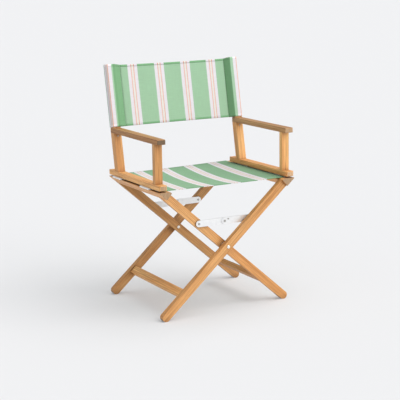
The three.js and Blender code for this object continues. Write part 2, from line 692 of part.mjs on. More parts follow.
// The back is one cloth with a sleeve over each post; its section is drawn square to the posts.
function backShape() {
  const halfDepth = BACK_POST_DEPTH / 2;
  const inner = ARM_INNER + POST_INSET;
  const outer = ARM_OUTER - POST_INSET;
  const seam = inner - SLEEVE_SEAM;
  const grow = GAP + SLEEVE_CLOTH;
  const sheet = CLOTH / 2;
  const right = [
    [seam, -sheet],
    [inner - grow / 2, -halfDepth - grow],
    [outer + grow, -halfDepth - grow],
    [outer + grow, halfDepth + grow],
    [inner - grow / 2, halfDepth + grow],
    [seam, sheet],
  ];
  const left = right.map(([x, v]) => [-x, -v]);
  const shape = polygon([...right, ...left]);
  for (const side of [1, -1]) {
    shape.holes.push(new THREE.Path([
      [side * (inner - GAP), -halfDepth - GAP],
      [side * (outer + GAP), -halfDepth - GAP],
      [side * (outer + GAP), halfDepth + GAP],
      [side * (inner - GAP), halfDepth + GAP],
      [side * (seam + SLEEVE_POINT), 0],
    ].map(([x, v]) => new THREE.Vector2(x, v))));
  }
  return shape;
}

function buildBackCanvas() {
  const length = (BACK_TOP - BACK_BOTTOM) / Math.cos(BACK_LEAN);
  const geometry = new THREE.ExtrudeGeometry(backShape(), { depth: length, bevelEnabled: false });
  const cloth = add(chair, 'back_canvas', geometry, canvasCloth());
  cloth.position.set(0, backFrontAt(BACK_BOTTOM) + BACK_DEPTH_LEVEL / 2, BACK_BOTTOM);
  cloth.rotation.x = -BACK_LEAN;
}

buildBackCanvas();

export default chair;
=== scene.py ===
import json
import math
import random

import bpy
import numpy as np
from mathutils import Euler, Matrix, Vector


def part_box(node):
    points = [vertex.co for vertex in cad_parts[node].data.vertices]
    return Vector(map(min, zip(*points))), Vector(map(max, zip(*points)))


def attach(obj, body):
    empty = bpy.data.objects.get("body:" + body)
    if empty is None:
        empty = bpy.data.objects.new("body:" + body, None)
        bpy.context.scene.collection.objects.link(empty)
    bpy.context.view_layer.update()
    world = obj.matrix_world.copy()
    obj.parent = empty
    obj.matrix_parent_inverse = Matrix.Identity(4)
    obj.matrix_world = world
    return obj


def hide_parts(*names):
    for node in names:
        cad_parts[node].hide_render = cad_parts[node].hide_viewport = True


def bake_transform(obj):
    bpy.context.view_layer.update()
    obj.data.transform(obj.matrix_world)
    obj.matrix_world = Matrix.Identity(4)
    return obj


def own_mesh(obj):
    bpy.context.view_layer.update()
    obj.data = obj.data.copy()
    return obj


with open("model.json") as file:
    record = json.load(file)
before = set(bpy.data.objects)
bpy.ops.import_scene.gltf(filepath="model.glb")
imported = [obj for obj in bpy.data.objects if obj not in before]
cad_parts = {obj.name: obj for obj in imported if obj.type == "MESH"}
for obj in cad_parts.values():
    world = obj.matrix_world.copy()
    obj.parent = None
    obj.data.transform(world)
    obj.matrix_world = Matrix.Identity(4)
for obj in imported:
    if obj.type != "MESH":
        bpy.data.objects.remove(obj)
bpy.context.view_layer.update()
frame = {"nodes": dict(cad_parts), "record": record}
NODES = frame["nodes"]
SLOTS = {part["node"]: part["material_slot"] for part in frame["record"]["subparts"]}
SCENE = bpy.context.scene
MM = 0.001


def srgb(r, g, b):
    """A display colour as the linear one that a shader takes."""
    return tuple((v / 255 / 12.92) if v < 11 else ((v / 255 + 0.055) / 1.055) ** 2.4 for v in (r, g, b))


def scaled(colour, factor):
    return tuple(v * factor for v in colour)


def nodes_of(slot):
    """The names of the CAD nodes in a material slot, in order."""
    return sorted(name for name in NODES if SLOTS.get(name) == slot)


# ---------------------------------------------------------------- material helpers

BLACK, WHITE = (0, 0, 0), (1, 1, 1)
SHARP = math.radians(35)  # an edge that turns more than this is eased


def new_material(name):
    material = bpy.data.materials.new(name)
    material.use_nodes = True
    tree = material.node_tree
    return material, tree.nodes["Principled BSDF"], tree


def set_material(name, material):
    """Give a CAD node one material."""
    data = NODES[name].data
    data.materials.clear()
    data.materials.append(material)


def ease_edges(name, width, segments):
    """Round a CAD node's sharp edges."""
    bevel = NODES[name].modifiers.new("eased", "BEVEL")
    bevel.width = width
    bevel.segments = segments
    bevel.limit_method = "ANGLE"
    bevel.angle_limit = SHARP
    bevel.harden_normals = True


def node(tree, kind, inputs=None, **settings):
    """A new shader node; inputs are values or the sockets that feed them."""
    made = tree.nodes.new(kind)
    for key, value in settings.items():
        setattr(made, key, value)
    for key, value in (inputs or {}).items():
        if isinstance(value, bpy.types.NodeSocket):
            tree.links.new(value, made.inputs[key])
        else:
            made.inputs[key].default_value = value
    return made


def noise(tree, place, scale=1.0, detail=2.0):
    made = node(tree, "ShaderNodeTexNoise", {"Vector": place, "Scale": scale, "Detail": detail})
    return made.outputs["Fac"]


def ramp(tree, factor, stops, interpolation="LINEAR"):
    """Colours along 0 to 1; stops are (place, colour), in order."""
    made = node(tree, "ShaderNodeValToRGB", {"Fac": factor})
    band = made.color_ramp
    band.interpolation = interpolation
    while len(band.elements) < len(stops):
        band.elements.new(0.5)
    for element, (place, colour) in zip(band.elements, stops):
        element.position = place
        element.color = (*colour, 1)
    return made.outputs["Color"]


def fade(tree, factor, low, high, start=BLACK, end=WHITE):
    """One colour up to low, another from high on, and an even change between them."""
    return ramp(tree, factor, [(low, start), (high, end)])


def math_node(tree, operation, *values, clamp=False):
    """One operation on numbers or sockets, given in the order of the node's inputs."""
    inputs = dict(enumerate(values))
    return node(tree, "ShaderNodeMath", inputs, operation=operation, use_clamp=clamp).outputs[0]


def dot(tree, a, b):
    made = node(tree, "ShaderNodeVectorMath", {0: a, 1: b}, operation="DOT_PRODUCT")
    return made.outputs["Value"]


def mix_colour(tree, factor, a, b, blend="MIX"):
    """Mix two colours, each a socket or three numbers. The node's colours are its inputs 6 and 7."""
    inputs = {0: factor}
    for key, colour in ((6, a), (7, b)):
        inputs[key] = colour if isinstance(colour, bpy.types.NodeSocket) else (*colour, 1)
    return node(tree, "ShaderNodeMix", inputs, data_type="RGBA", blend_type=blend).outputs[2]


def bump(tree, shader, height, strength, distance):
    """Give a shader bumps, and return the bumped normal."""
    made = node(tree, "ShaderNodeBump", {"Height": height, "Strength": strength, "Distance": distance})
    tree.links.new(made.outputs["Normal"], shader.inputs["Normal"])
    return made.outputs["Normal"]


# ---------------------------------------------------------------- camera, light and floor

CAMERA_PLACE = (-2.0506, -3.7884, 1.2448)
CAMERA_YAW, CAMERA_PITCH, CAMERA_ROLL = math.radians(28.50), math.radians(11.43), math.radians(-0.91)
LENS, SENSOR_WIDTH = 106.15, 36.0  # mm
FARTHEST_SEEN = 400

ROOM_COLOUR, ROOM_STRENGTH = (0.88, 0.94, 1.0), 0.495
BACKDROP_COLOUR, BACKDROP_STRENGTH = (0.875, 0.885, 0.90), 1.0
LAMP_COLOUR = (1.0, 0.985, 0.965)
# Each lamp's name, its strength, how wide it is in the sky and its turn, both in degrees.
LAMPS = (
    ("key", 1.62, 66, (15, 0, 78)),
    ("fill", 2.02, 66, (60, 0, 40)),
    ("side", 0.42, 80, (72, 0, -65)),
)

FLOOR_HALF = 60.0
FLOOR_COLOUR, FLOOR_ROUGH = (0.546, 0.541, 0.545), 0.9
FLOOR_GLOW_COLOUR, FLOOR_GLOW = (0.96, 0.98, 1.0), 0.18


def make_camera():
    """A long lens in front of the chair, to its left and above its back."""
    camera = bpy.data.objects.new("camera", bpy.data.cameras.new("camera"))
    SCENE.collection.objects.link(camera)
    camera.data.lens = LENS
    camera.data.sensor_width = SENSOR_WIDTH
    camera.data.clip_end = FARTHEST_SEEN
    level = Vector((math.sin(CAMERA_YAW), math.cos(CAMERA_YAW), 0))
    aim = level * math.cos(CAMERA_PITCH) - Vector((0, 0, math.sin(CAMERA_PITCH)))
    right = aim.cross(Vector((0, 0, 1))).normalized()
    up = right.cross(aim)
    cos, sin = math.cos(CAMERA_ROLL), math.sin(CAMERA_ROLL)
    turn = Matrix((right * cos + up * sin, up * cos - right * sin, -aim)).transposed()
    camera.matrix_world = Matrix.Translation(CAMERA_PLACE) @ turn.to_4x4()
    SCENE.camera = camera


def make_light():
    """An even, pale room with three broad lamps."""
    world = bpy.data.worlds.new("studio")
    SCENE.world = world
    world.use_nodes = True
    tree = world.node_tree
    room = tree.nodes["Background"]
    room.inputs["Color"].default_value = (*ROOM_COLOUR, 1)
    room.inputs["Strength"].default_value = ROOM_STRENGTH
    # Seen past the floor's edge, the backdrop is as pale as the floor.
    look = {"Color": (*BACKDROP_COLOUR, 1), "Strength": BACKDROP_STRENGTH}
    backdrop = node(tree, "ShaderNodeBackground", look)
    seen = node(tree, "ShaderNodeLightPath").outputs["Is Camera Ray"]
    both = node(tree, "ShaderNodeMixShader", {0: seen, 1: room.outputs[0], 2: backdrop.outputs[0]})
    tree.links.new(both.outputs[0], tree.nodes["World Output"].inputs["Surface"])
    for name, strength, width, turn in LAMPS:
        lamp = bpy.data.objects.new(name, bpy.data.lights.new(name, "SUN"))
        SCENE.collection.objects.link(lamp)
        lamp.data.energy = strength
        lamp.data.color = LAMP_COLOUR
        lamp.data.angle = math.radians(width)
        lamp.rotation_euler = Euler([math.radians(v) for v in turn])
    SCENE.view_settings.view_transform = "Standard"


def make_floor():
    """A wide, matt floor; a faint glow of its own keeps the shadows light."""
    half = FLOOR_HALF
    corners = [(-half, -half, 0), (half, -half, 0), (half, half, 0), (-half, half, 0)]
    mesh = bpy.data.meshes.new("floor")
    mesh.from_pydata(corners, [], [(0, 1, 2, 3)])
    floor = bpy.data.objects.new("floor", mesh)
    SCENE.collection.objects.link(floor)
    material, shader, _ = new_material("floor")
    shader.inputs["Base Color"].default_value = (*FLOOR_COLOUR, 1)
    shader.inputs["Emission Color"].default_value = (*FLOOR_GLOW_COLOUR, 1)
    shader.inputs["Emission Strength"].default_value = FLOOR_GLOW
    shader.inputs["Roughness"].default_value = FLOOR_ROUGH
    shader.inputs["Specular IOR Level"].default_value = 0.0
    mesh.materials.append(material)
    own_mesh(floor)


# ---------------------------------------------------------------- wood

WOOD_LIGHT, WOOD_MIDDLE, WOOD_DARK = srgb(252, 194, 126), srgb(238, 168, 98), srgb(140, 80, 32)
END_LIGHT, END_DARK = srgb(190, 158, 122), srgb(140, 108, 78)
BRIGHTEST = 0.97
TONE_SEED, TONE_SPREAD, SHIFT_SPREAD = 4, (0.95, 1.03), (-5, 5)
WOOD_EDGE = 1.4 * MM

# Each pattern's length along the grain and its width, in metres, and a shift that keeps it off the others.
BOARD = (0.35, 0.030, 0)
RINGS = (0.9, 0.016, 3)
STREAKS = (0.09, 0.0022, 7)
PORES = (0.012, 0.0007, 11)
LINES = (0.30, 0.0055, 5)
RING_WAVE = {"Scale": 1.0, "Distortion": 3.5, "Detail": 2.0, "Detail Scale": 0.8}
# Where a pattern starts to show and where it shows in full.
BOARD_RANGE, STREAK_RANGE, LINE_RANGE, PORE_RANGE = (0.30, 0.70), (0.42, 0.75), (0.50, 0.66), (0.60, 0.70)
# How much of its dark colour each pattern brings in.
RING_SHARE, STREAK_SHARE, LINE_SHARE, PORE_SHARE = 0.24, 0.62, 0.34, 0.22
PORE_SHADE = 0.5
END_RANGE = (0.80, 0.92)  # how squarely a face has to look along the grain to be end grain
NEARLY_ALONG_Y = 0.9

# Painted shade: the wood is darkened where two pieces meet.
CORNER_SHADE_REACH, CORNER_SHADE_RANGE = 32 * MM, (0.15, 0.90)
CORNER_SHADE_COLOUR, CORNER_SHADE_DEPTH, RAIL_CORNER_SHADE_DEPTH = (1.0, 0.85, 0.7), 0.36, 0.60

WOOD_ROUGH, WOOD_ROUGH_SPREAD, WOOD_SPECULAR = 0.38, 0.22, 0.35
PORE_HEIGHT, WOOD_BUMP = -0.5, (0.25, 0.4 * MM)  # each bump here is its strength and its height

# Some pieces are lighter or darker: partly their boards' own tone, partly painted light and shade, such as
# the right posts lighter than the left ones. A name takes every row that fits it.
WOOD_TONE_AND_PAINTED_LIGHT = (
    ("armrest", 0.58),
    ("arm_rail", 1.09),
    ("outer_stretcher", 1.14),
    ("inner_stretcher", 0.76),
    ("leg", 0.88),
    ("inner_leg_rear", 0.82),
    ("outer_leg_rear", 0.84),
    ("front_post_left", 0.74),
    ("back_post_left", 0.90),
    ("post_right", 1.09),
)
# The end grain's tone on some pieces: painted light on the arm rails' and the right armrest's ends, painted
# shade on the left armrest's.
END_TONE_AND_PAINTED_LIGHT = {"armrest_left": 0.40, "arm_rail_left": 1.15, "arm_rail_right": 1.5, "armrest_right": 1.15}


def grain_axes(tree, place, along):
    """How far a point lies along the grain, and across it both ways."""
    other = Vector((0, 1, 0)) if abs(along.y) < NEARLY_ALONG_Y else Vector((0, 0, 1))
    side = along.cross(other).normalized()
    return [dot(tree, place.outputs["Object"], axis) for axis in (along, side, along.cross(side))]


def wood_material(name, grain, tone, end_tone, corner_shade, seed):
    """Oiled hardwood: growth rings, streaks, lines and pores along the grain, a darker end grain, and painted
    shade where pieces meet.
    """
    material, shader, tree = new_material(name)
    place = node(tree, "ShaderNodeTexCoord")
    along = Vector(grain).normalized()
    parts = grain_axes(tree, place, along)
    rng = random.Random(seed)

    def stretched(length, width, shift):
        offsets = [rng.uniform(*SHIFT_SPREAD) + shift for _ in range(3)]
        drawn_out = [
            math_node(tree, "MULTIPLY_ADD", part, 1 / size, offset)
            for part, size, offset in zip(parts, (length, width, width), offsets)
        ]
        return node(tree, "ShaderNodeCombineXYZ", dict(enumerate(drawn_out))).outputs[0]

    board = noise(tree, stretched(*BOARD))
    waves = {"Vector": stretched(*RINGS), **RING_WAVE}
    rings = node(tree, "ShaderNodeTexWave", waves, wave_type="BANDS", bands_direction="Y").outputs["Fac"]
    streaks = noise(tree, stretched(*STREAKS), detail=4.0)
    pores = noise(tree, stretched(*PORES), detail=1.0)
    lines = noise(tree, stretched(*LINES))

    tones = [scaled(colour, tone) for colour in (WOOD_LIGHT, WOOD_MIDDLE, WOOD_DARK)]
    light, middle, dark = [tuple(min(v, BRIGHTEST) for v in colour) for colour in tones]
    base = fade(tree, board, *BOARD_RANGE, middle, light)
    for pattern, share, colour in (
        (rings, RING_SHARE, dark),
        (fade(tree, streaks, *STREAK_RANGE), STREAK_SHARE, dark),
        (fade(tree, lines, *LINE_RANGE), LINE_SHARE, dark),
        (fade(tree, pores, *PORE_RANGE), PORE_SHARE, scaled(dark, PORE_SHADE)),
    ):
        base = mix_colour(tree, math_node(tree, "MULTIPLY", pattern, share), base, colour)
    facing = math_node(tree, "ABSOLUTE", dot(tree, place.outputs["Normal"], along))
    end_grain = mix_colour(tree, rings, scaled(END_LIGHT, end_tone), scaled(END_DARK, end_tone))
    base = mix_colour(tree, fade(tree, facing, *END_RANGE), base, end_grain)
    # Painted shade: the colour darkens where another piece is close by.
    corner = node(tree, "ShaderNodeAmbientOcclusion", {"Distance": CORNER_SHADE_REACH}, samples=8)
    corner_shaded = fade(tree, corner.outputs["AO"], *CORNER_SHADE_RANGE, scaled(CORNER_SHADE_COLOUR, corner_shade), WHITE)
    base = mix_colour(tree, 1.0, base, corner_shaded, "MULTIPLY")
    tree.links.new(base, shader.inputs["Base Color"])

    rough = math_node(tree, "MULTIPLY_ADD", streaks, WOOD_ROUGH_SPREAD, WOOD_ROUGH)
    tree.links.new(rough, shader.inputs["Roughness"])
    shader.inputs["Specular IOR Level"].default_value = WOOD_SPECULAR
    bump(tree, shader, math_node(tree, "MULTIPLY_ADD", pores, PORE_HEIGHT, streaks), *WOOD_BUMP)
    return material


# The posts' shoulders stand a gap over the arm rails; a corner counts as top or shoulder inside its band.
TOP_BAND, SHOULDER_GAP, SHOULDER_BAND = 0.5 * MM, 0.3 * MM, 0.2 * MM


def back_plane():
    """The back posts' directions up and to the rear, the middle of their top, and their depth."""
    verts = [v.co for v in NODES["back_post_right"].data.vertices]
    high = max(v.z for v in verts)
    top = [v for v in verts if v.z > high - TOP_BAND]
    foot_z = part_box("arm_rail_right")[1][2] + SHOULDER_GAP
    foot = [v for v in verts if abs(v.z - foot_z) < SHOULDER_BAND]
    front_top, rear_top = min(v.y for v in top), max(v.y for v in top)
    front_foot = min(v.y for v in foot)
    slope = (front_top - front_foot) / (high - foot_z)
    up = Vector((0, slope, 1)).normalized()
    rear = Vector((0, up.z, -up.y))
    middle_top = Vector((0, (front_top + rear_top) / 2, high))
    return up, rear, middle_top, (rear_top - front_top) * up.z


BACK_UP, BACK_REAR, BACK_TOP_MIDDLE, BACK_POST_DEPTH = back_plane()


def grain_of(name):
    """The way a wooden piece's grain runs."""
    if "_leg_" in name:
        points = [v.co for v in NODES[name].data.vertices]
        return max(points, key=lambda p: p.z) - min(points, key=lambda p: p.z)
    if name.startswith("back_post"):
        return BACK_UP
    if name.startswith("front_post"):
        return Vector((0, 0, 1))
    return Vector((0, 1, 0))


def paint_wood():
    random_tone = random.Random(TONE_SEED)
    for seed, name in enumerate(nodes_of("wood")):
        tone = random_tone.uniform(*TONE_SPREAD)
        # Each piece's tone, partly painted light and shade.
        for part, factor in WOOD_TONE_AND_PAINTED_LIGHT:
            tone *= factor if part in name else 1.0
        # The end grain's painted light and shade.
        end_tone = END_TONE_AND_PAINTED_LIGHT.get(name, 1.0)
        # The corners' painted shade is lighter on the arm rails.
        corner_shade = RAIL_CORNER_SHADE_DEPTH if name.startswith("arm_rail") else CORNER_SHADE_DEPTH
        set_material(name, wood_material(f"wood_{name}", grain_of(name), tone, end_tone, corner_shade, seed))
        ease_edges(name, WOOD_EDGE, segments=3)


# ---------------------------------------------------------------- metal

# Each finish: its colour, its least roughness, the axis its drawn lines run along, and how metallic it is.
LINK_FINISH = ((0.84, 0.845, 0.85), 0.30, "X", 0.7)
HINGE_FINISH = ((0.97, 0.97, 0.96), 0.30, "Y", 0.45)
BOLT_FINISH = ((0.93, 0.91, 0.86), 0.30, "Y", 0.8)
SCREW_FINISH = ((0.42, 0.41, 0.39), 0.34, "Y", 1.0)
LINK_EDGE = 0.4 * MM
# The drawn lines' scale along them and across them, and that of the slow change in shade.
DRAWN_ALONG, DRAWN_ACROSS, CLOUD_SCALE = 60, 1500, 90.0
CLOUD_RANGE, CLOUD_SHADE = (0.3, 0.7), 0.93
METAL_ROUGH_SPREAD, METAL_BUMP = 0.16, (0.12, 0.1 * MM)


def metal_material(name, colour, rough, along, metallic):
    """Plated steel with fine drawn lines along one axis."""
    material, shader, tree = new_material(name)
    place = node(tree, "ShaderNodeTexCoord").outputs["Object"]
    scale = [DRAWN_ALONG if axis == along else DRAWN_ACROSS for axis in "XYZ"]
    lines = node(tree, "ShaderNodeMapping", {"Vector": place, "Scale": scale})
    drawn = noise(tree, lines.outputs[0], detail=3.0)
    cloud = noise(tree, place, scale=CLOUD_SCALE)
    shade = fade(tree, cloud, *CLOUD_RANGE, scaled(colour, CLOUD_SHADE), colour)
    tree.links.new(shade, shader.inputs["Base Color"])
    shader.inputs["Metallic"].default_value = metallic
    roughness = math_node(tree, "MULTIPLY_ADD", drawn, METAL_ROUGH_SPREAD, rough)
    tree.links.new(roughness, shader.inputs["Roughness"])
    bump(tree, shader, drawn, *METAL_BUMP)
    return material


def paint_metal():
    links = metal_material("metal_links", *LINK_FINISH)
    hinges = metal_material("metal_hinges", *HINGE_FINISH)
    bolts = metal_material("metal_bolts", *BOLT_FINISH)
    screws = metal_material("metal_screws", *SCREW_FINISH)
    for name in nodes_of("metal"):
        if name.startswith("brace_link"):
            set_material(name, links)
            ease_edges(name, LINK_EDGE, segments=2)
        elif name.startswith("hinge"):
            set_material(name, hinges)
        elif "pivot" in name:
            set_material(name, bolts)
        else:
            set_material(name, screws)


# ---------------------------------------------------------------- canvas and thread

# The stripes, in mm: on green, white bands with two salmon lines and a cream one between those.
STRIPE_PERIOD = 111.0
WHITE_HALF, SALMON_OUTER, SALMON_INNER = 20.0, 7.0, 3.5
PALE, SALMON, CREAM = srgb(255, 250, 254), srgb(251, 209, 194), srgb(255, 254, 248)
# Where a white band's middle lies in mm, how much light one layer lets past, the tone, and the green. Seat
# and back are one cloth: the seat's lower tone and deeper green are painted shade, the back's paler green is
# painted light.
SEAT_CANVAS = (43.0, 0.12, 0.75, srgb(149, 197, 153))
BACK_CANVAS = (55.5, 0.42, 0.89, srgb(194, 228, 196))
# How much a layer under the cloth deepens its colour and darkens it; on the sleeves' slopes the counted
# layers are painted shade.
LAYER_DEPTH, LAYER_SHADE = 0.36, -0.085

SLUB_LENGTH, SLUB_WIDTH, SLUB_SHADE = 40.0, 1.3, 0.16  # mm, mm, and how far slubs change the shade
THREAD_PITCH, WEAVE_HEIGHT = 0.9, 0.4  # mm between two threads, and the weave's height beside a slub's
CANVAS_ROUGH, CANVAS_SPECULAR, CANVAS_SHEEN = 0.85, 0.2, 0.15
CANVAS_BUMP = (0.35, 0.3 * MM)

THREAD_DARK, THREAD_LIGHT = srgb(112, 160, 118), srgb(146, 190, 150)
THREAD_ROUGH, TWIST_SCALE, TWIST_RANGE = 0.6, 1500.0, (0.3, 0.7)


def stripe_colours(tree, across, first_band, green):
    """The colour at a place across the cloth, in mm."""
    place = math_node(tree, "MULTIPLY_ADD", across, 1 / STRIPE_PERIOD, 0.5 - first_band / STRIPE_PERIOD)
    white, outer, inner = (v / STRIPE_PERIOD for v in (WHITE_HALF, SALMON_OUTER, SALMON_INNER))
    stops = [
        (0.0, green),
        (0.5 - white, PALE),
        (0.5 - outer, SALMON),
        (0.5 - inner, CREAM),
        (0.5 + inner, SALMON),
        (0.5 + outer, PALE),
        (0.5 + white, green),
    ]
    return ramp(tree, math_node(tree, "FRACT", place), stops, "CONSTANT")


def slubs(tree, across, along):
    """Thicker threads both ways."""
    both = []
    for length, width in ((SLUB_LENGTH, SLUB_WIDTH), (SLUB_WIDTH, SLUB_LENGTH)):
        spread = node(tree, "ShaderNodeCombineXYZ", {
            0: math_node(tree, "MULTIPLY", across, 1 / length),
            1: math_node(tree, "MULTIPLY", along, 1 / width),
        })
        both.append(noise(tree, spread.outputs[0]))
    return math_node(tree, "ADD", *both)


def weave(tree, across, along):
    """Plain weave: threads over and under."""
    turn = math.tau / THREAD_PITCH
    warp = math_node(tree, "SINE", math_node(tree, "MULTIPLY", across, turn))
    weft = math_node(tree, "SINE", math_node(tree, "MULTIPLY", along, turn))
    return math_node(tree, "MULTIPLY", warp, weft)


def canvas_material(name, first_band, through, tone, green):
    """Striped, plain-woven canvas.

    The mesh carries where each point lies on the flat cloth, in mm, and how many layers lie under it; on the
    sleeves' slopes that count is painted shade."""
    material, shader, tree = new_material(name)
    flat = node(tree, "ShaderNodeAttribute", attribute_name="cloth")
    parts = node(tree, "ShaderNodeSeparateXYZ", {0: flat.outputs["Vector"]})
    across, along, layers = (parts.outputs[i] for i in range(3))
    colour = stripe_colours(tree, across, first_band, green)
    slub = slubs(tree, across, along)
    # Doubled cloth lets less light out, so its colour is deeper; the sleeves' slopes are darkened the same
    # way as painted shade.
    depth = math_node(tree, "MULTIPLY", layers, LAYER_DEPTH, clamp=True)
    colour = mix_colour(tree, 1.0, colour, mix_colour(tree, depth, WHITE, colour), "MULTIPLY")
    shade = math_node(tree, "MULTIPLY_ADD", slub, SLUB_SHADE, tone - SLUB_SHADE)
    shade = math_node(tree, "MULTIPLY_ADD", layers, LAYER_SHADE, shade)
    grey = node(tree, "ShaderNodeCombineColor", {0: shade, 1: shade, 2: shade})
    colour = mix_colour(tree, 1.0, colour, grey.outputs[0], "MULTIPLY")
    tree.links.new(colour, shader.inputs["Base Color"])
    shader.inputs["Roughness"].default_value = CANVAS_ROUGH
    shader.inputs["Specular IOR Level"].default_value = CANVAS_SPECULAR
    shader.inputs["Sheen Weight"].default_value = CANVAS_SHEEN
    height = math_node(tree, "MULTIPLY_ADD", weave(tree, across, along), WEAVE_HEIGHT, slub)
    normal = bump(tree, shader, height, *CANVAS_BUMP)
    glow = node(tree, "ShaderNodeBsdfTranslucent", {"Color": colour, "Normal": normal})
    share = math_node(tree, "MULTIPLY_ADD", layers, -through, through, clamp=True)
    both = node(tree, "ShaderNodeMixShader", {0: share, 1: shader.outputs[0], 2: glow.outputs[0]})
    tree.links.new(both.outputs[0], tree.nodes["Material Output"].inputs["Surface"])
    return material


def thread_material():
    """Green sewing thread with a fine twist."""
    material, shader, tree = new_material("thread")
    place = node(tree, "ShaderNodeTexCoord")
    twist = noise(tree, place.outputs["Object"], scale=TWIST_SCALE)
    shade = fade(tree, twist, *TWIST_RANGE, THREAD_DARK, THREAD_LIGHT)
    tree.links.new(shade, shader.inputs["Base Color"])
    shader.inputs["Roughness"].default_value = THREAD_ROUGH
    return material


# ---------------------------------------------------------------- cloth

SINGLE, DOUBLE = 1.1 * MM, 2.0 * MM  # the cloth's thickness, and a hem's
HEM, HEM_STEP = 8 * MM, 0.6 * MM  # a hem's width, and the step down from it
ROW = 8 * MM  # from one row of points to the next

STITCH_PITCH, STITCH_LENGTH, STITCH_RADIUS = 4.5 * MM, 3.1 * MM, 0.38 * MM
STITCH_RISE = 0.35  # how far its middle stands over the cloth, as a share of its radius
STITCH_IN_HEM = 1.6 * MM  # from a hem's inner edge out to its stitches
TINY = 1e-9


class Cloth:
    """A thin closed sheet built from a grid of middle points, with its stitches in the same mesh."""

    def __init__(self, name, surface, across, along, thickness, layers, slip=0.0, skew=0.0):
        """surface(u, v) gives a middle point in metres; thickness and layers take (u, v) too.

        slip moves the stripes towards the cloth's two side edges, and skew slants them, in metres a metre."""
        self.name = name
        self.surface = surface
        self.thickness = thickness
        self.verts, self.faces, self.flat, self.kinds = [], [], [], []
        grid = {}
        for side in (0, 1):
            for i, u in enumerate(across):
                for j, v in enumerate(along):
                    half = thickness(u, v) / 2 * (1 if side else -1)
                    grid[side, i, j] = len(self.verts)
                    self.verts.append(surface(u, v) + self.normal(u, v) * half)
                    striped = u - math.copysign(slip, u) - skew * v
                    self.flat.append((striped / MM, v / MM, layers(u, v)))
        self.close(grid, len(across) - 1, len(along) - 1)

    def close(self, grid, right, top):
        """Faces over the sheet's two sides and round its four edges."""
        for i in range(right):
            for j in range(top):
                self.quad(grid[1, i, j], grid[1, i + 1, j], grid[1, i + 1, j + 1], grid[1, i, j + 1])
                self.quad(grid[0, i, j], grid[0, i, j + 1], grid[0, i + 1, j + 1], grid[0, i + 1, j])
        for i in range(right):
            self.quad(grid[0, i, 0], grid[0, i + 1, 0], grid[1, i + 1, 0], grid[1, i, 0])
            self.quad(grid[1, i, top], grid[1, i + 1, top], grid[0, i + 1, top], grid[0, i, top])
        for j in range(top):
            self.quad(grid[1, 0, j], grid[1, 0, j + 1], grid[0, 0, j + 1], grid[0, 0, j])
            self.quad(grid[0, right, j], grid[0, right, j + 1], grid[1, right, j + 1], grid[1, right, j])

    def quad(self, *corners, kind=0):
        """One face, of cloth (0) or thread (1)."""
        self.faces.append(corners)
        self.kinds.append(kind)

    def normal(self, u, v):
        step = 0.5 * MM
        du = self.surface(u + step, v) - self.surface(u - step, v)
        dv = self.surface(u, v + step) - self.surface(u, v - step)
        return du.cross(dv).normalized()

    def stitch_row(self, start, end, faces=(1, -1)):
        """Stitches from one place on the flat cloth to another, on its front (1), its back (-1) or both."""
        start, end = Vector(start), Vector(end)
        heading = (end - start).normalized()
        count = int((end - start).length / STITCH_PITCH)
        for k in range(count):
            u, v = start.lerp(end, (k + 0.5) / count)
            ahead = self.surface(u + heading.x * MM, v + heading.y * MM) - self.surface(u, v)
            for face in faces:
                self.stitch(u, v, ahead.normalized(), face)

    def stitch(self, u, v, ahead, face):
        """A low spindle, pointed at both ends, that lies on the cloth."""
        normal = self.normal(u, v)
        out = normal * face * STITCH_RADIUS
        beside = ahead.cross(normal) * STITCH_RADIUS
        reach = ahead * STITCH_LENGTH / 2
        lift = self.thickness(u, v) / 2 + STITCH_RADIUS * STITCH_RISE
        middle = self.surface(u, v) + normal * face * lift
        near = len(self.verts)
        far = near + 5
        for offset in (-reach - out, beside, out, -beside, -out, reach - out):
            self.verts.append(middle + offset)
            self.flat.append((u / MM, v / MM, 0))
        for a, b in ((1, 2), (2, 3), (3, 4), (4, 1)):
            if face > 0:
                a, b = b, a
            self.quad(near, near + a, near + b, kind=1)
            self.quad(far, near + b, near + a, kind=1)

    def build(self, *materials):
        mesh = bpy.data.meshes.new(self.name)
        mesh.from_pydata(self.verts, [], self.faces)
        for material in materials:
            mesh.materials.append(material)
        mesh.polygons.foreach_set("material_index", self.kinds)
        mesh.polygons.foreach_set("use_smooth", [True] * len(self.faces))
        flat = mesh.attributes.new("cloth", "FLOAT_VECTOR", "POINT")
        flat.data.foreach_set("vector", np.array(self.flat, float).ravel())
        mesh.validate()
        mesh.update()
        piece = bpy.data.objects.new(self.name, mesh)
        SCENE.collection.objects.link(piece)
        return piece


def spaced(lo, hi, step, extra=()):
    """Values from lo to hi about a step apart, with some extra ones between them."""
    count = max(2, int(round((hi - lo) / step)))
    values = {round(lo + (hi - lo) * i / count, 7) for i in range(count + 1)}
    values |= {round(v, 7) for v in extra if lo < v < hi}
    return sorted(values)


def hemmed_rows(length):
    """The rows of points of a cloth with a hem at each end, two of them close together at each step."""
    return spaced(0, length, ROW, (HEM, HEM + HEM_STEP, length - HEM, length - HEM - HEM_STEP))


def hem_stitches(length):
    """Where the two hems' stitches lie."""
    return HEM - STITCH_IN_HEM, length - HEM + STITCH_IN_HEM


def in_hem(v, length):
    return v <= HEM or v >= length - HEM


def swell(share):
    """0 at both ends of a length and 1 in its middle."""
    return math.sin(math.pi * min(max(share, 0), 1))


# ---------------------------------------------------------------- the seat

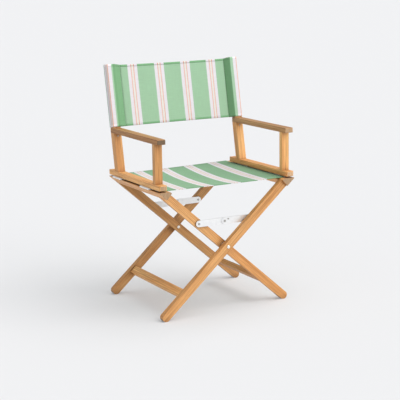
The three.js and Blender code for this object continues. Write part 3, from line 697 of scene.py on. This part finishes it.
SEAT_COLUMN = 7 * MM  # from one line of points to the next
SEAT_LIFT = 1.0 * MM  # the cloth's middle above the rails
HEM_SAG, MIDDLE_SAG = 1.0, 9.5  # mm: how far the hems sag, and how much more the middle does
RIPPLE, RIPPLE_TURN, RIPPLE_SLANT = 0.35, 95, 2.2  # mm, radians a metre, radians from front to rear
SAG_ALONG, SAG_ACROSS = 0.9, 1.15  # the powers that shape the sag from front to rear and across
SEAT_SKEW = 0.065  # how far the stripes lean, in metres a metre
EDGE_STEP = 4 * MM  # from a rail's inner edge to one more line of points on it
EDGE_BAND = 1 * MM
SEAT_ROW_END = 3 * MM  # from the cloth's side edge to where its stitches start


def make_seat(stripes, thread):
    lo, hi = (Vector(corner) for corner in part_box("seat_canvas"))
    rail_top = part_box("seat_rail_right")[1][2]
    rail_inner = 0.2330  # just inside the edges of the rails' tops
    half = hi.x
    verts = [v.co for v in NODES["seat_canvas"].data.vertices]
    rear_left = max(v.y for v in verts if v.x < lo.x + EDGE_BAND)
    rear_right = max(v.y for v in verts if v.x > hi.x - EDGE_BAND)
    length = (rear_left + rear_right) / 2 - lo.y

    def surface(u, v):
        """u runs to the right from the middle, and v runs back from the front edge."""
        share = v / length
        rear = rear_left + (rear_right - rear_left) * (u + half) / (2 * half)
        y = lo.y + share * (rear - lo.y)
        level = rail_top + SEAT_LIFT
        inside = 1 - (abs(u) / rail_inner) ** 2
        if inside <= 0:
            return Vector((u, y, level))
        sag = (HEM_SAG + MIDDLE_SAG * swell(share) ** SAG_ALONG) * inside ** SAG_ACROSS
        wave = math.sin(u * RIPPLE_TURN + RIPPLE_SLANT * share)
        ripple = RIPPLE * wave * math.sin(math.pi * share) * inside
        return Vector((u, y, level - (sag + ripple) * MM))

    def layers(u, v):
        return 1.0 if in_hem(v, length) else 0.0

    def thickness(u, v):
        return DOUBLE if in_hem(v, length) else SINGLE

    extra = [side * x for side in (-1, 1) for x in (rail_inner, rail_inner + EDGE_STEP, half - HEM)]
    across, along = spaced(-half, half, SEAT_COLUMN, extra), hemmed_rows(length)
    cloth = Cloth("seat_cloth", surface, across, along, thickness, layers, skew=SEAT_SKEW)
    for v in hem_stitches(length):
        cloth.stitch_row((-half + SEAT_ROW_END, v), (half - SEAT_ROW_END, v))
    piece = cloth.build(stripes, thread)
    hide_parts("seat_canvas")
    # Laid flat, the cloth is wider than its span: 4 mm are allowed for the sag.
    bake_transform(piece)


# ---------------------------------------------------------------- the back

BACK_LIFT = 2.2 * MM  # its lower edge above the armrests
BACK_DROP = 2 * MM  # its upper edge below the posts' tops
SEAM_IN = 24 * MM  # from a post's inner face to the seam at the panel's edge
SEWN_OFF_CENTRE = 4 * MM  # the back panel sits this far to the right between its sleeves
PANEL_HEM_LAYERS = 2.8
BACK_ROW_END = 2 * MM  # from the cloth's edge to where a row of stitches starts
SLACK_WAVES = ((0.9, 34, 0.8), (0.5, 71, 0))  # mm, radians a metre, and radians at the middle
HEM_DIP = 1.2 * MM  # how far the upper edge hangs, and the lower one rises, in the middle

SLEEVE_PROUD = 1.0 * MM  # the cloth's middle beyond the post
SLEEVE_CORNER, CORNER_STEPS = 2.2 * MM, 4
SLEEVE_STEP = 4 * MM
SLEEVE_RISE, RISE_POWER = 3.0 * MM, 6  # how much higher the sleeves end than the panel, close to the top
SLEEVE_SLIP = 5 * MM
SLEEVE_HEM = 1.5 * MM  # a hem's thickness
SEAM_LAP, TAIL_LAP = 1 * MM, 3 * MM  # how far the sleeve's two ends go past the seam
SEAM_BEHIND, TAIL_BEHIND = 1.6 * MM, 1.5 * MM  # how far behind the panel its rear end lies
SEAM_ROWS = (1.5 * MM, 5.5 * MM)  # from the seam out to its two rows of stitches
HEM_ROW_START, HEM_ROW_END = 3 * MM, 5 * MM

# How deep the colour is in the seam, on the slope from there to the post (painted shade), round the post, and
# more in a hem.
SEAM_WIDTH, SEAM_LAYERS, WRAP_LAYERS, SLEEVE_HEM_LAYERS = 3.5 * MM, 5.0, 0.5, 0.6
SLOPE_SHADE = {"left": 3.5, "right": 4.5}
SLOPE_SHADE_PAST = {"left": 13 * MM, "right": 4 * MM}  # how far that painted shade goes on round the post


def make_back(stripes, thread):
    post_lo, post_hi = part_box("back_post_right")
    inner, outer = post_lo[0], post_hi[0]
    bottom_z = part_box("armrest_right")[1][2] + BACK_LIFT
    height = (BACK_TOP_MIDDLE.z - BACK_DROP - bottom_z) / BACK_UP.z
    origin = BACK_TOP_MIDDLE + BACK_UP * ((bottom_z - BACK_TOP_MIDDLE.z) / BACK_UP.z)
    seam = inner - SEAM_IN
    off = SEWN_OFF_CENTRE
    left, right = off - seam, off + seam

    def at(x, depth, v):
        return origin + Vector((x, 0, 0)) + BACK_REAR * depth + BACK_UP * v

    def panel(u, v):
        share = v / height
        edge = max(0.0, 1 - ((u - off) / seam) ** 2)
        slack = sum(size * math.sin(u * turn + first) for size, turn, first in SLACK_WAVES) * swell(share)
        dip = HEM_DIP * edge * (1 if share > 0.5 else -1) * abs(2 * share - 1)
        return at(u, slack * edge * MM, v - dip)

    def layers(u, v):
        return PANEL_HEM_LAYERS if in_hem(v, height) else 0.0

    def thickness(u, v):
        return DOUBLE if in_hem(v, height) else SINGLE

    cloth = Cloth("back_panel", panel, spaced(left, right, ROW), hemmed_rows(height), thickness, layers)
    for v in hem_stitches(height):
        cloth.stitch_row((left + BACK_ROW_END, v), (right - BACK_ROW_END, v))
    back = cloth.build(stripes, thread)
    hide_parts("back_canvas")
    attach(back, "right_arm")
    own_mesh(back)
    for side, word in ((1, "right"), (-1, "left")):
        piece = make_sleeve(side, word, at, seam + side * off, inner, outer, height, stripes, thread)
        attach(piece, f"{word}_arm")


def rounded(corner, before, after):
    """Points round a corner, from the direction that comes to it to the one that leaves it."""
    enter, leave = corner - before * SLEEVE_CORNER, corner + after * SLEEVE_CORNER
    steps = [k / CORNER_STEPS for k in range(CORNER_STEPS + 1)]
    return [enter * (1 - t) ** 2 + corner * 2 * t * (1 - t) + leave * t ** 2 for t in steps]


def sleeve_outline(seam, x_in, x_out, deep):
    """The sleeve's section across the post, as (x, depth): from the seam round the post and back again.

    Depth is 0 at the panel's middle and grows to the rear."""
    outward, inward, rearward = Vector((1, 0)), Vector((-1, 0)), Vector((0, 1))
    front_in, rear_in = Vector((x_in, -deep)), Vector((x_in, deep))
    to_post = Vector((x_in - seam, -deep)).normalized()
    to_seam = Vector((seam - x_in, SEAM_BEHIND - deep)).normalized()
    return [
        Vector((seam - SEAM_LAP, 0)),
        *rounded(front_in, to_post, outward),
        *rounded(Vector((x_out, -deep)), outward, rearward),
        *rounded(Vector((x_out, deep)), rearward, inward),
        *rounded(rear_in, inward, to_seam),
        Vector((seam, SEAM_BEHIND)),
        Vector((seam - TAIL_LAP, TAIL_BEHIND)),
    ]


def refined(path):
    """A path with more points on its long parts, and how far along it each point lies."""
    fine, lengths = [path[0]], [0.0]
    for a, b in zip(path, path[1:]):
        count = max(1, int((b - a).length / SLEEVE_STEP))
        fine += [a.lerp(b, (k + 1) / count) for k in range(count)]
    for a, b in zip(fine, fine[1:]):
        lengths.append(lengths[-1] + (b - a).length)
    return fine, lengths


def make_sleeve(side, word, at, seam, inner, outer, height, stripes, thread):
    """The cloth's end goes round the post and comes back to the seam behind the panel."""
    deep = BACK_POST_DEPTH / 2 + SLEEVE_PROUD
    x_in, x_out = inner - SLEEVE_PROUD, outer + SLEEVE_PROUD
    fine, lengths = refined(sleeve_outline(seam, x_in, x_out, deep))
    total = lengths[-1]
    start = seam - SEAM_LAP
    slope_end = (Vector((x_in, -deep)) - fine[0]).length - SLEEVE_CORNER

    def section(u):
        s = min(max(u - start, 0.0), total)
        k = max(i for i, value in enumerate(lengths[:-1]) if value <= s + TINY)
        share = (s - lengths[k]) / max(lengths[k + 1] - lengths[k], TINY)
        return fine[k].lerp(fine[k + 1], share)

    def surface(u, v):
        """u runs from the middle out to the seam and then round the post, and v runs up."""
        point = section(abs(u))
        rise = SLEEVE_RISE * min(1.0, max(0.0, (point.x - seam) / (inner - seam)))
        stretch = rise * min(max(v / height, 0), 1) ** RISE_POWER
        return at(side * point.x, point.y, v + stretch)

    def layers(u, v):
        reach = abs(u) - start
        more = SLEEVE_HEM_LAYERS if in_hem(v, height) else 0.0
        if reach < SEAM_WIDTH:
            return SEAM_LAYERS + more
        # Painted shade on the slope from the seam to the post, deeper on the right sleeve.
        if reach < slope_end + SLOPE_SHADE_PAST[word]:
            return SLOPE_SHADE[word] + more
        return WRAP_LAYERS + more

    def thickness(u, v):
        return SLEEVE_HEM if in_hem(v, height) else SINGLE

    across, along = sorted(side * (start + value) for value in lengths), hemmed_rows(height)
    cloth = Cloth(f"back_sleeve_{word}", surface, across, along, thickness, layers, slip=SLEEVE_SLIP)
    for reach in (*(seam + row for row in SEAM_ROWS), start + total - TAIL_LAP):
        cloth.stitch_row((side * reach, BACK_ROW_END), (side * reach, height - BACK_ROW_END), faces=(-1,))
    first, last = side * (start + HEM_ROW_START), side * (start + total - HEM_ROW_END)
    for v in hem_stitches(height):
        cloth.stitch_row((first, v), (last, v), faces=(-1,))
    piece = cloth.build(stripes, thread)
    return piece


# ---------------------------------------------------------------- the scene

make_camera()
make_light()
make_floor()
paint_wood()
paint_metal()
THREAD = thread_material()
make_seat(canvas_material("canvas_seat", *SEAT_CANVAS), THREAD)
make_back(canvas_material("canvas_back", *BACK_CANVAS), THREAD)
